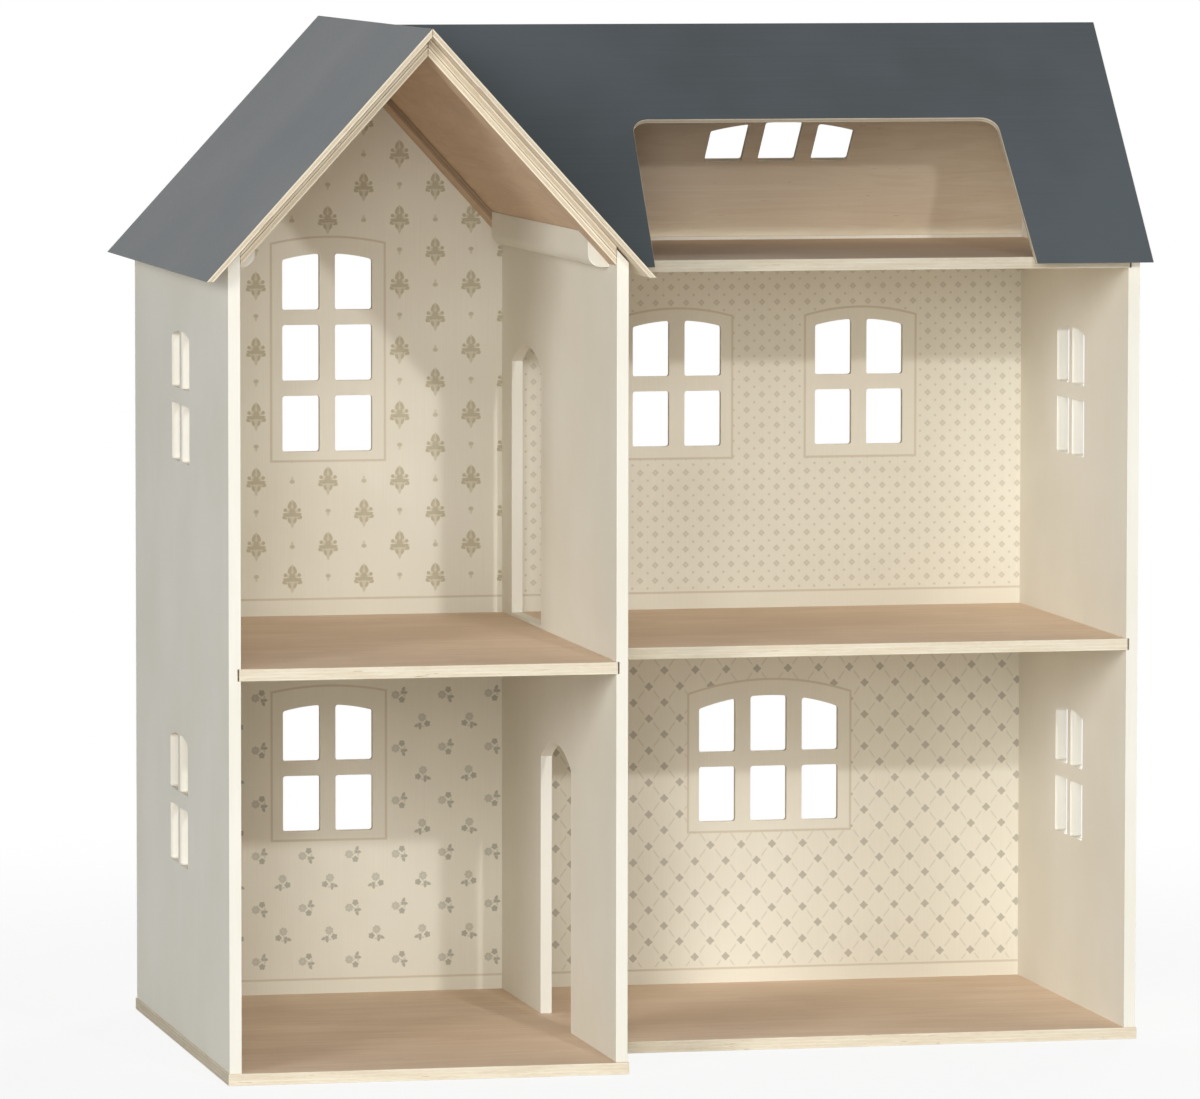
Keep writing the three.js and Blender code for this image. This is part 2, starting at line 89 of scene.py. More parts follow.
gable_pitch = pitch_of("gable_roof_left")
main_pitch = pitch_of("main_roof_front")
print("pitches", round(math.degrees(gable_pitch), 1), round(math.degrees(main_pitch), 1))

# %% [markdown]
# ## The camera
# A long lens from far away, a little above the roof and off to the left. The long lens keeps the
# uprights nearly parallel, as a catalogue view does. The camera is placed by its distance and by
# three turns: how far it looks round, how far down, and a trace of roll.

# %% Camera
look_round = math.radians(-12.2303)
look_down = math.radians(-4.7437)
roll = math.radians(0.0773)

camera = bpy.data.objects.new("camera", bpy.data.cameras.new("camera"))
bpy.context.scene.collection.objects.link(camera)
camera.data.lens = 259.647
camera.data.sensor_width = 36.0
camera.data.clip_end = 100.0
camera.location = (-1.43214, -6.46761, 0.92420)
camera.rotation_euler = (
    Matrix.Rotation(look_round, 3, "Z")
    @ Matrix.Rotation(math.pi / 2 + look_down, 3, "X")
    @ Matrix.Rotation(roll, 3, "Z")
).to_euler()
bpy.context.scene.camera = camera
print("camera", [round(v, 3) for v in camera.location], "lens", camera.data.lens)

# %% [markdown]
# ## Light
# A toy like this is lit by large soft lamps in front of its open side, mostly from the left, and
# by one small lamp a little above it and to the right. The soft lamps stand far off, so that the
# back of a room gets nearly as much light as its front edge. The small lamp is near. It draws the
# slanting edge of the gable on the papered wall and the straight edge of each floor on the wall
# below it. Two more soft lamps stand behind and at the right, for anyone who walks round the
# house. All of them together are kept low enough that the pale front edges stay short of white.

# %% Lamps
bpy.context.scene.view_settings.view_transform = "Standard"

HOUSE_MIDDLE = (0.0, 0.0, 0.38)
FAR = 7.2
LOW_STAND, HIGH_STAND = 0.9, 2.4
NARROW, WIDE = 1.8, 2.4


def place_lamp(name, light, place, aim):
    holder = bpy.data.objects.new(name, light)
    bpy.context.scene.collection.objects.link(holder)
    holder.location = place
    holder.rotation_euler = (Vector(aim) - Vector(place)).to_track_quat("-Z", "Y").to_euler()
    print(name, round(light.energy), "watts")
    return holder


def soft_lamp(name, round_left, distance, height, width, watts):
    """A round soft lamp: degrees left of straight ahead, how far off, how high, how wide."""
    light = bpy.data.lights.new(name, "AREA")
    light.shape = "DISK"
    light.size = width
    light.energy = watts
    angle = math.radians(round_left)
    place = (-distance * math.sin(angle), -distance * math.cos(angle), height)
    return place_lamp(name, light, place, HOUSE_MIDDLE)


soft_lamp("front_lamp_low", 14.0, FAR, LOW_STAND, NARROW, 69.0)
soft_lamp("front_lamp_high", 15.0, FAR, HIGH_STAND, WIDE, 97.0)
soft_lamp("left_lamp_low", 45.0, FAR, LOW_STAND, NARROW, 53.0)
soft_lamp("left_lamp_high", 44.0, FAR, HIGH_STAND, WIDE, 181.0)
soft_lamp("back_lamp", -150.0, 4.1, 1.1, NARROW, 128.0)
soft_lamp("right_lamp", -82.0, 4.4, 1.2, NARROW, 50.0)

key_light = bpy.data.lights.new("key_lamp", "SPOT")
key_light.shadow_soft_size = 0.035
key_light.energy = 72.0
key_light.spot_size = math.radians(70.0)
key_light.spot_blend = 1.0
place_lamp("key_lamp", key_light, (0.235, -2.746, 1.329), (0.0, 0.0, -0.2))

# %% [markdown]
# ## Node sums written as Python
# A finish is a small network of nodes. Wiring it by hand is long to read, so two small classes
# help. A `Wire` is one value on its way between nodes, and adding or multiplying wires adds the
# Math nodes. A `Finish` is one material: `add` makes any other node, its settings first, then the
# values or wires of its sockets.

# %% Wire and Finish
class Wire:
    """One value on its way between the nodes of a finish."""

    def __init__(self, finish, socket):
        self.finish = finish
        self.socket = socket

    def __add__(self, other):
        return self.finish.sum("ADD", self, other)

    def __radd__(self, other):
        return self.finish.sum("ADD", other, self)

    def __sub__(self, other):
        return self.finish.sum("SUBTRACT", self, other)

    def __rsub__(self, other):
        return self.finish.sum("SUBTRACT", other, self)

    def __mul__(self, other):
        return self.finish.sum("MULTIPLY", self, other)

    def __rmul__(self, other):
        return self.finish.sum("MULTIPLY", other, self)

    def __truediv__(self, other):
        return self.finish.sum("DIVIDE", self, other)

    def __rtruediv__(self, other):
        return self.finish.sum("DIVIDE", other, self)

    def __neg__(self):
        return self.finish.sum("MULTIPLY", self, -1.0)

    def __abs__(self):
        return self.finish.sum("ABSOLUTE", self)


class Finish:
    """One material, or the world, and the nodes it is made of."""

    def __init__(self, name, owner=None):
        self.material = owner or bpy.data.materials.new(name)
        self.material.use_nodes = True
        self.tree = self.material.node_tree
        self.tree.nodes.clear()

    def add(self, kind, settings=None, sockets=None, out=0):
        """Any node: its kind, its settings, then values or wires for its sockets."""
        node = self.tree.nodes.new(kind)
        for name, value in (settings or {}).items():
            setattr(node, name, value)
        for key, value in (sockets or {}).items():
            if isinstance(value, Wire):
                self.tree.links.new(value.socket, node.inputs[key])
            else:
                node.inputs[key].default_value = value
        return Wire(self, node.outputs[out]) if node.outputs else None

    def sum(self, operation, *values):
        """One Math node."""
        return self.add("ShaderNodeMath", {"operation": operation}, dict(enumerate(values)))

    def least(self, *values):
        return functools.reduce(lambda a, b: self.sum("MINIMUM", a, b), values)

    def most(self, *values):
        return functools.reduce(lambda a, b: self.sum("MAXIMUM", a, b), values)

    def reach(self, a, b):
        """Distance of the point (a, b) from nought."""
        return self.sum("SQRT", a * a + b * b)

    def step(self, value, low, high, to_low=0.0, to_high=1.0):
        """Value taken smoothly from low..high to to_low..to_high."""
        ends = {"From Min": low, "From Max": high, "To Min": to_low, "To Max": to_high}
        return self.add(
            "ShaderNodeMapRange", {"interpolation_type": "SMOOTHSTEP"}, {"Value": value, **ends}
        )

    def place(self, centre, turn=(0.0, 0.0, 0.0)):
        """Board coordinates in millimetres: nought at centre, turned as the board is turned."""
        coords = self.add("ShaderNodeTexCoord", out="Object")
        return self.add(
            "ShaderNodeMapping",
            {"vector_type": "TEXTURE"},
            {"Vector": coords, "Location": tuple(centre), "Rotation": turn, "Scale": (MM, MM, MM)},
        )

    def split(self, vector):
        node = self.add("ShaderNodeSeparateXYZ", sockets={0: vector}).socket.node
        return [Wire(self, output) for output in node.outputs]

    def stretch(self, vector, scale):
        return self.add(
            "ShaderNodeVectorMath", {"operation": "MULTIPLY"}, {0: vector, 1: tuple(scale)}
        )

    def noise(self, vector, scale=1.0, detail=2.0, rough=0.5, warp=0.0):
        return self.add(
            "ShaderNodeTexNoise",
            sockets={
                "Vector": vector,
                "Scale": scale,
                "Detail": detail,
                "Roughness": rough,
                "Distortion": warp,
            },
        )

    def blend(self, factor, low, high):
        """One colour turning into another."""
        return self.add(
            "ShaderNodeMix", {"data_type": "RGBA"}, {0: factor, 6: low, 7: high}, out=2
        )

    def bump(self, height, strength, distance):
        sockets = {"Height": height, "Strength": strength, "Distance": distance}
        return self.add("ShaderNodeBump", sockets=sockets)

    def skin(self, colour, roughness, normal, gloss):
        """The surface itself, and the end of the finish."""
        shader = self.add(
            "ShaderNodeBsdfPrincipled",
            sockets={
                "Base Color": colour,
                "Roughness": roughness,
                "Normal": normal,
                "Specular IOR Level": gloss,
            },
        )
        self.add("ShaderNodeOutputMaterial", sockets={"Surface": shader})
        return self.material


def shade(red, green, blue):
    """A colour written in 0 to 255 steps, as the renderer wants it."""
    parts = [value / 255.0 for value in (red, green, blue)]
    linear = [p / 12.92 if p <= 0.04045 else ((p + 0.055) / 1.055) ** 2.4 for p in parts]
    return (*linear, 1.0)


def deeper(colours, share):
    """The same colours with less of their light."""
    return [(red * share, green * share, blue * share, 1.0) for red, green, blue, solid in colours]


FLAT = (0.0, 0.0, 0.0)
WHITE = shade(255, 255, 255)
print("finish tools ready")

# %% [markdown]
# ## The world
# The background is white for the camera and for reflections. For shading it is nearly dark, so
# that the white does not wash out the rooms and the lamps alone model them.

# %% World
SKY_LIGHT = 0.06

world = bpy.data.worlds.new("studio")
bpy.context.scene.world = world
sky = Finish("studio", world)
rays = ("Is Camera Ray", "Is Glossy Ray", "Is Transmission Ray")
looked_at = sky.most(*[sky.add("ShaderNodeLightPath", out=ray) for ray in rays])
shading = sky.add("ShaderNodeBackground", sockets={"Color": WHITE, "Strength": SKY_LIGHT})
backdrop = sky.add("ShaderNodeBackground", sockets={"Color": WHITE, "Strength": 1.0})
both = sky.add("ShaderNodeMixShader", sockets={0: looked_at, 1: shading, 2: backdrop})
sky.add("ShaderNodeOutputWorld", sockets={"Surface": both})
print("world", world.name)

# %% [markdown]
# ## Cream paint
# The walls are plywood sprayed with an eggshell cream paint. Paint over birch is never dead flat:
# the veneer's upright grain tells through it as hair-thin ridges, the film has a faint stipple,
# and its tone drifts a little over a whole board. A low gloss that changes with the film keeps
# the long walls from looking like card.

# %% Cream paint finish
CREAM = shade(243, 240, 229)
CREAM_DEEP = shade(237, 233, 219)


def cream_paint(name, centre):
    """Paint on an upright board, whose grain runs up."""
    finish = Finish(name)
    board = finish.place(centre)
    drift = finish.noise(board, 0.006, 3.0, 0.55)
    grain = finish.noise(finish.stretch(board, (0.9, 0.9, 0.012)), 1.0, 4.0, 0.6, 0.3)
    stipple = finish.noise(board, 1.1, 2.0, 0.6)
    tone = finish.step(drift * 0.7 + grain * 0.3, 0.36, 0.64)
    colour = finish.blend(tone, CREAM_DEEP, CREAM)
    rough = finish.step(stipple * 0.5 + grain * 0.5, 0.3, 0.7, 0.5, 0.64)
    raised = grain * 0.7 + stipple * 0.3
    return finish.skin(colour, rough, finish.bump(raised, 0.12, 0.0004), 0.12)


wall_paint = cream_paint("wall_cream_paint", (0.0, 0.0, 0.35))
print("made", wall_paint.name)

# %% [markdown]
# ## Birch veneer
# The bare faces are rotary-cut birch: pale, with long soft figure where the knife crossed the
# growth rings, a silky fibre along the grain, and small brown flecks. One recipe serves every
# bare face, in four sets of colours: bare birch, the stain on the floors, the inside of the main
# roof, and the browner lining of the gable.

# %% Birch face finish
ALONG_X, ALONG_Y = 0, 1


def birch_face(name, centre, turn, colours, grain=ALONG_X):
    """Birch veneer on a face across the board's own Z axis. colours are light, dark and fleck."""
    light, dark, fleck = colours
    finish = Finish(name)
    board = finish.place(centre, turn)

    def veneer(along, across, through):
        """Board coordinates drawn out along the grain."""
        flat = (along, across) if grain == ALONG_X else (across, along)
        return finish.stretch(board, (*flat, through))

    figure = finish.noise(veneer(0.0045, 0.04, 0.02), 1.0, 3.0, 0.55, 1.1)
    rings = finish.sum("SINE", figure * 46.0) * 0.5 + 0.5
    fibre = finish.noise(veneer(0.03, 1.1, 0.5), 1.0, 5.0, 0.65)
    patch = finish.noise(board, 0.009, 2.0, 0.5)
    dash = finish.noise(veneer(0.09, 0.55, 0.3), 1.0, 2.0, 0.5)
    tone = finish.step(figure * 0.45 + rings * 0.08 + fibre * 0.22 + patch * 0.35, 0.38, 0.74)
    wood = finish.blend(tone, dark, light)
    colour = finish.blend(finish.step(dash, 0.70, 0.78, 0.0, 0.55), wood, fleck)
    rough = finish.step(fibre, 0.3, 0.7, 0.52, 0.66)
    return finish.skin(colour, rough, finish.bump(fibre, 0.18, 0.0005), 0.2)


BIRCH = (shade(240, 223, 198), shade(226, 205, 177), shade(198, 168, 134))
STAIN = (shade(238, 215, 190), shade(224, 198, 171), shade(190, 158, 128))
INSIDE = (shade(238, 226, 205), shade(226, 210, 186), shade(188, 164, 134))
LINING = (shade(220, 194, 165), shade(206, 178, 149), shade(172, 142, 110))
print("birch recipe ready, with", len((BIRCH, STAIN, INSIDE, LINING)), "sets of colours")

# %% [markdown]
# ## Ply edges
# A sawn edge shows the plies: thin veneers glued crosswise, so one ply shows long grain and the
# next shows end grain, with a thin darker glue line between them. The depth through the board
# tells which ply a point is in. The recipe counts plies from that depth, wobbles the lines a
# little, and darkens the end-grain plies and the glue. On the thin roof boards three thick plies
# show plainly. On the 9 mm floors seven thin ones nearly run together. Here and there a short
# dark dash shows where two strips of a hidden ply do not quite meet. Some cuts are made deeper
# than others: the floor ends for their end grain, and some other edges as painted shade. One
# number takes the same share of light from all three colours.

# %% Ply edge finish
SAWN = (shade(240, 232, 211), shade(224, 211, 186), shade(176, 148, 116))


def ply_edge(name, centre, turn, sheet, share=1.0, plain=1.0, colours=SAWN):
    """Cut edge round a board's own Z axis. plain is how plainly the plies show, from 0 to 1."""
    thickness, plies = sheet
    light, dark, glue = deeper(colours, share)
    finish = Finish(name)
    board = finish.place(centre, turn)
    depth = finish.split(board)[2]
    wobble = finish.noise(finish.stretch(board, (0.03, 0.03, 0.2)), 1.0, 2.0, 0.5) - 0.5
    ply = thickness / plies
    count = (depth + thickness / 2 + wobble * ply * 0.35) / ply
    inside = finish.sum("FRACT", count)
    crosswise = finish.sum("PINGPONG", finish.sum("FLOOR", count), 1.0)
    near_glue = finish.most(finish.step(inside, 0.14, 0.02), finish.step(inside, 0.86, 0.98))
    fibre = finish.noise(finish.stretch(board, (0.12, 0.12, 2.2)), 1.0, 4.0, 0.6)
    pores = finish.noise(finish.stretch(board, (1.3, 1.3, 1.3)), 1.0, 3.0, 0.6)
    patch = finish.noise(finish.stretch(board, (0.02, 0.02, 0.3)), 1.0, 2.0, 0.5)
    end_grain = crosswise * finish.step(pores + patch * 0.6, 0.5, 1.0, 0.25, 0.85)
    wood = finish.blend(finish.step(fibre * 0.6 + patch * 0.6, 0.42, 0.78), dark, light)
    plies_seen = finish.blend(end_grain * (0.6 * plain), wood, glue)
    lines = near_glue * finish.step(patch, 0.35, 0.6, 0.45, 1.0)
    lined = finish.blend(lines * (0.8 * plain), plies_seen, glue)
    gaps = finish.noise(finish.stretch(board, (0.05, 0.05, 0.9)), 1.0, 2.0, 0.5)
    colour = finish.blend(finish.step(gaps, 0.69, 0.74, 0.0, 0.7), lined, glue)
    rough = finish.step(pores, 0.3, 0.7, 0.62, 0.78)
    raised = fibre * 0.5 + pores * 0.5 - near_glue * 0.25
    return finish.skin(colour, rough, finish.bump(raised, 0.25, 0.0005), 0.12)


print("ply edge recipe ready")

# %% [markdown]
# ## Slate paint
# The outside of the roof is painted a blue-grey, a little smoother than the walls. Its tone
# drifts in broad clouds, the veneer's grain runs faintly along the slope under it, and fine
# specks catch the light.

# %% Slate paint finish
SLATE = shade(90, 97, 101)
SLATE_DEEP = shade(81, 87, 90)


def slate_paint(name, centre, turn):
    """Grey paint on the outside of a roof slope."""
    finish = Finish(name)
    board = finish.place(centre, turn)
    drift = finish.noise(board, 0.005, 3.0, 0.55)
    grain = finish.noise(finish.stretch(board, (0.012, 0.7, 0.7)), 1.0, 4.0, 0.6, 0.2)
    stipple = finish.noise(board, 0.9, 2.0, 0.6)
    tone = finish.step(drift * 0.8 + grain * 0.2, 0.34, 0.66)
    colour = finish.blend(tone, SLATE_DEEP, SLATE)
    rough = finish.step(stipple * 0.5 + drift * 0.5, 0.3, 0.7, 0.36, 0.46)
    raised = grain * 0.4 + stipple * 0.6
    return finish.skin(colour, rough, finish.bump(raised, 0.12, 0.0004), 0.15)


print("slate recipe ready")

# %% [markdown]
# ## Copying a board
# Each board starts as the frame's own solid. Its triangles are loose, so a copy is joined up
# first, and flat triangles are dissolved into whole faces. A saw leaves a sharp edge, and a
# maker takes it off with a pass of fine paper: a bevel of a few tenths of a millimetre does the
# same here and lets every edge catch a thin line of light. Faces are then given a finish by the
# way they look in the board's own axes: up through its top face, down through its underside, or
# sideways out of a cut edge.

# %% Board maker
THICK_EASE = 0.0005
BOARD_EASE = 0.0004
THIN_EASE = 0.0003


def copy_solid(node):
    """The frame's solid as one joined-up bmesh of whole faces."""
    shape = bmesh.new()
    shape.from_mesh(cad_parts[node].data)
    bmesh.ops.remove_doubles(shape, verts=shape.verts, dist=2e-6)
    bmesh.ops.dissolve_limit(
        shape, angle_limit=math.radians(0.5), verts=shape.verts, edges=shape.edges
    )
    return shape


def ease_edges(shape, width):
    """A small bevel on every edge that turns a corner."""
    corner = math.radians(25.0)
    sharp = [edge for edge in shape.edges if edge.calc_face_angle(0.0) > corner]
    bmesh.ops.bevel(
        shape,
        geom=sharp,
        offset=width,
        offset_type="OFFSET",
        affect="EDGES",
        segments=2,
        profile=0.5,
        material=-1,
        clamp_overlap=True,
    )


def board_piece(node, finishes, choose, ease, cut=None):
    """Make the shown board for one solid of the frame. choose(face) gives the finish's number."""
    shape = copy_solid(node)
    ease_edges(shape, ease)
    if cut:
        cut(shape)
    for face in shape.faces:
        face.material_index = choose(face)
        face.smooth = False
    mesh = bpy.data.meshes.new(node + "_board")
    shape.to_mesh(mesh)
    shape.free()
    for material in finishes:
        mesh.materials.append(material)
    piece = bpy.data.objects.new(node + "_board", mesh)
    bpy.context.scene.collection.objects.link(piece)
    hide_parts(node)
    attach(piece, "root")
    print(piece.name, len(mesh.polygons), "faces")
    return piece


def upward_of(turn):
    """The way that the top face of a board looks when it is turned like this."""
    return Euler(turn).to_matrix() @ Vector((0.0, 0.0, 1.0))


TOP, UNDER, EDGES, ENDS = 0, 1, 2, 3


def by_side(turn):
    """Chooser for a flat board: its top face, its underside, or a cut edge."""
    upward = upward_of(turn)

    def choose(face):
        facing = face.normal.dot(upward)
        return TOP if facing > 0.95 else UNDER if facing < -0.95 else EDGES

    return choose


print("board maker ready, edges eased by", round(THIN_EASE / MM, 2), "mm or more")

# %% [markdown]
# ## Side walls and rails
# The two outside walls, the partition and the two small rails under the gable are painted all
# over, cut edges and window reveals too, so one finish covers each of them.

# %% Painted boards
def painted_all_over(face):
    return 0


for wall in ("left_side_wall", "partition_wall", "right_side_wall"):
    board_piece(wall, [wall_paint], painted_all_over, THICK_EASE)
for rail in ("wall_rail_left", "wall_rail_right"):
    board_piece(rail, [wall_paint], painted_all_over, THIN_EASE)

# %% [markdown]
# ## Base and floors
# The base and the three floors are 9 mm boards. What is walked on is stained a light brown, and
# the cut edges are left pale. The grain of the faces runs from side to side, so the two ends are
# cut across it. End grain drinks in light, so an end looks a shade deeper than a long edge and
# shows its plies more plainly. The attic floor is painted the deepest of the four, on top and at
# its edge, as painted shade for the dark under the main roof.

# %% Flat boards
FLOOR_SHEET = (9.0, 7)
END_SHARE = 0.92
# The attic floor's top and edges are darkened to 0.82 of their light as painted shade.
ATTIC_SHADE_SHARE = 0.82


def middle(node):
    """Middle of a board's box."""
    low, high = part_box(node)
    return (low + high) / 2


def flat_board(node, share=1.0):
    centre = middle(node)
    top = birch_face(node + "_top", centre, FLAT, deeper(STAIN, share))
    under = birch_face(node + "_under", centre, FLAT, BIRCH)
    edge = ply_edge(node + "_edge", centre, FLAT, FLOOR_SHEET, share, 0.22)
    end = ply_edge(node + "_end", centre, FLAT, FLOOR_SHEET, share * END_SHARE, 0.5)
    side = by_side(FLAT)

    def choose(face):
        return ENDS if abs(face.normal.x) > 0.9 else side(face)

    return board_piece(node, [top, under, edge, end], choose, BOARD_EASE)


flat_board("base_board")
flat_board("floor_left_first")
flat_board("floor_right_first")
flat_board("floor_attic", ATTIC_SHADE_SHARE)

# %% [markdown]
# ## The roof
# The four slopes are 4 mm boards, painted outside and bare inside. Each board's own axes are
# turned by the pitch, so that grain lies along the slope and plies lie in it. The front slope has
# a large cut-out, and the cut edges of that board are painted a little deeper than the others',
# as painted shade for the cut-out's edges, which lie in shade.

# %% Slope finishes
LEFT_TURN = (0.0, -gable_pitch, 0.0)
RIGHT_TURN = (0.0, gable_pitch, 0.0)
FRONT_TURN = (main_pitch, 0.0, 0.0)
BACK_TURN = (-main_pitch, 0.0, 0.0)
ROOF_SHEET = (4.0, 3)
# The front slope's cut edges are darkened to 0.8 of their light as painted shade.
CUTOUT_SHADE_SHARE = 0.8


def sloping_middle(node, turn):
    """Middle of a sloping board, measured square to its faces."""
    upward = upward_of(turn)
    depths = [corner.co.dot(upward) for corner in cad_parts[node].data.vertices]
    centre = middle(node)
    return centre + upward * ((min(depths) + max(depths)) / 2 - centre.dot(upward))


def roof_slope(node, turn, share=1.0):
    centre = sloping_middle(node, turn)
    outside = slate_paint(node + "_paint", centre, turn)
    inside = birch_face(node + "_inside", centre, turn, INSIDE)
    edge = ply_edge(node + "_edge", centre, turn, ROOF_SHEET, share)
    finishes = [outside, inside, edge]
    return board_piece(node, finishes, by_side(turn), THIN_EASE)


roof_slope("gable_roof_left", LEFT_TURN)
roof_slope("gable_roof_right", RIGHT_TURN)
roof_slope("main_roof_front", FRONT_TURN, CUTOUT_SHADE_SHARE)
roof_slope("main_roof_back", BACK_TURN)

# %% [markdown]
# ## Inside the gable
# The gable has a second layer of 5 mm boards under its slopes, and 4.5 mm battens under those at
# the front and at the back. All are bare wood. The grain of the linings runs from front to back,
# and that of the battens runs down the slope. The edges of the back battens are painted in the
# lining's colours with less of their light, as painted shade for the dark at the back of the gable.

# %% Linings and battens
LINING_SHEET = (5.0, 3)
BATTEN_SHEET = (4.5, 3)
# The back battens' edges take the lining's colours at 0.62 of their light: painted shade for the
# dark at the back of the gable.
BATTEN_EDGE_SHADE = deeper(LINING, 0.62)


def bare_slope(node, turn, sheet, grain, edge_colours=SAWN):
    centre = sloping_middle(node, turn)
    face = birch_face(node + "_face", centre, turn, LINING, grain)
    edge = ply_edge(node + "_edge", centre, turn, sheet, colours=edge_colours)
    return board_piece(node, [face, face, edge], by_side(turn), THIN_EASE)


for side, turn in (("left", LEFT_TURN), ("right", RIGHT_TURN)):
    bare_slope("gable_lining_" + side, turn, LINING_SHEET, ALONG_Y)
    bare_slope("gable_batten_front_" + side, turn, BATTEN_SHEET, ALONG_X)
    bare_slope("gable_batten_back_" + side, turn, BATTEN_SHEET, ALONG_X, BATTEN_EDGE_SHADE)

# %% [markdown]
# ## Papered back walls
# Each back wall is one thin board from the ground to the roof, printed with a different small
# pattern in each room, a thin frame line round each window and a thin skirting line. The prints
# are drawn by sums on the wall's own millimetres: x from the room's left face, z from the top of
# its floor. A repeat comes from folding the plane into one cell, and a motif is a union of
# simple petals in that cell. The four patterns are the traditional kinds: a damask, sprigs,
# spots and a trellis.

# %% Print helpers
PAPER = shade(242, 238, 223)
PAPER_DEEP = shade(236, 231, 215)
LINE_INK = shade(217, 207, 187)
LINE_CORE, FRAME_FADE, SKIRTING_FADE = 0.4, 1.35, 1.3
BARE_ABOVE_SKIRTING = 2.0
PRINT_BLUR = 0.6


def cell(finish, value, pitch, start):
    """Distance from the middle of the nearest cell, and the number of that cell."""
    number = finish.sum("ROUND", (value - start) / pitch)
    return value - start - number * pitch, number


def fold(finish, value, pitch, start):
    """Only the distance from the middle of the nearest cell."""
    return cell(finish, value, pitch, start)[0]


def every_second(finish, number):
    """Nought for an even cell and one for an odd cell."""
    return finish.sum("PINGPONG", number, 1.0)


def petal(finish, a, b, at, size, lean=0.0, tip=1.0):
    """Signed distance, in about millimetres, of an oval petal. It is long in b until it leans."""
    turn = math.radians(lean)
    u, v = a - at[0], b - at[1]
    across = u * math.cos(turn) + v * math.sin(turn)
    up = v * math.cos(turn) - u * math.sin(turn)
    narrow = up * (tip - 1.0) / size[1] + 1.0
    return (finish.reach(across / (narrow * size[0]), up / size[1]) - 1.0) * min(size)


def window_frame(finish, x, z, middle, half, bottom, side_top, rise):
    """Signed distance from the printed frame round a window, with its bowed top."""
    aside = x - middle
    top = side_top + rise - aside * aside * (rise / half ** 2)
    return finish.most(abs(aside) - half, bottom - z, z - top)


def paper(name, room_x, floor_z, motif, ink_colour, frames, skirting):
    """A printed wall. motif gives ink from x and z; frames are drawn over it and kept clear."""
    finish = Finish(name)
    board = finish.place((room_x, paper_y, floor_z))
    x, _, z = finish.split(board)
    ink = motif(finish, x, z)
    nearest = finish.least(*[window_frame(finish, x, z, *outline) for outline in frames])
    outside = finish.step(nearest, 0.0, PRINT_BLUR)
    print_foot = skirting + BARE_ABOVE_SKIRTING
    above = finish.step(z, print_foot, print_foot + PRINT_BLUR)
    band = finish.step(abs(nearest), FRAME_FADE, LINE_CORE)
    skirt = finish.step(abs(z - skirting), SKIRTING_FADE, LINE_CORE)
    drift = finish.noise(board, 0.008, 3.0, 0.5)
    grain = finish.noise(finish.stretch(board, (0.8, 0.8, 0.015)), 1.0, 4.0, 0.6)
    dots = finish.noise(board, 1.6, 2.0, 0.6)
    ground = finish.blend(finish.step(drift * 0.7 + grain * 0.3, 0.36, 0.64), PAPER_DEEP, PAPER)
    uneven = finish.step(dots, 0.25, 0.6, 0.72, 1.0)
    printed = finish.blend(ink * outside * above * uneven, ground, ink_colour)
    colour = finish.blend(finish.most(band, skirt) * uneven, printed, LINE_INK)
    rough = finish.step(grain * 0.6 + dots * 0.4, 0.3, 0.7, 0.58, 0.7)
    return finish.skin(colour, rough, finish.bump(grain, 0.1, 0.0003), 0.3)


print("print helpers ready")

# %% [markdown]
# ### Damask for the upper left room
# Upright medallions in columns, every second column dropped by half a repeat, with a small bud
# between two medallions. The medallion here is built from petals: two leaves that close into a
# tall bud, a small ball at each side, a broad middle with two drooping arms, and two leaves
# closing into a drop below. A fainter second layer of ink fills the bud and the drop. Only the
# right half is drawn, because folding x about the middle gives the left half.

# %% Damask
def damask(finish, x, z):
    repeat, column_step = 51.3, 28.65
    first_column, first_medallion, first_bud = 86.0, 4.25, 29.9
    across_column, column = cell(finish, x, column_step, first_column)
    odd = every_second(finish, column)
    fallen = z - odd * (repeat / 2)
    row_z = fold(finish, fallen, repeat, first_medallion)
    a = abs(across_column)
    solid = finish.least(
        petal(finish, a, row_z, (1.9, 6.2), (1.35, 3.2), 20.0, 0.9),
        petal(finish, a, row_z, (1.4, 3.4), (0.9, 1.5), -35.0),
        petal(finish, a, row_z, (5.5, 2.1), (1.45, 1.45)),
        petal(finish, a, row_z, (0.0, 0.8), (2.6, 2.3)),
        petal(finish, a, row_z, (0.0, -1.3), (4.9, 1.7)),
        petal(finish, a, row_z, (4.4, -1.7), (1.35, 3.0), -72.0, 0.9),
        petal(finish, a, row_z, (6.5, -3.4), (1.3, 1.6), 15.0),
        petal(finish, a, row_z, (5.0, -4.3), (1.1, 0.8), -25.0),
        petal(finish, a, row_z, (2.2, -6.1), (1.25, 2.5), -20.0, 1.1),
    )
    faint = finish.least(
        petal(finish, a, row_z, (0.0, 5.9), (2.5, 4.5), 0.0, 0.5),
        petal(finish, a, row_z, (3.6, 0.9), (1.0, 2.8), -60.0),
        petal(finish, a, row_z, (0.0, 0.4), (4.4, 3.2)),
        petal(finish, a, row_z, (0.0, -3.4), (3.8, 1.9)),
        petal(finish, a, row_z, (0.0, -7.2), (2.1, 4.8), 180.0, 0.5),
    )
    medallion = finish.most(
        finish.step(solid, 0.4, -0.35) * 0.88, finish.step(faint, 0.5, -0.4) * 0.5
    )
    bud_z = fold(finish, fallen, repeat, first_bud) * (1.0 - odd * 2.0)
    bud = finish.step(petal(finish, a, bud_z, (0.0, 1.2), (2.0, 1.6)), 0.4, -0.4) * 0.7
    tail = finish.step(petal(finish, a, bud_z, (0.0, -0.6), (1.1, 2.3)), 0.4, -0.4) * 0.4
    return finish.most(medallion, bud, tail)


print("damask ready")

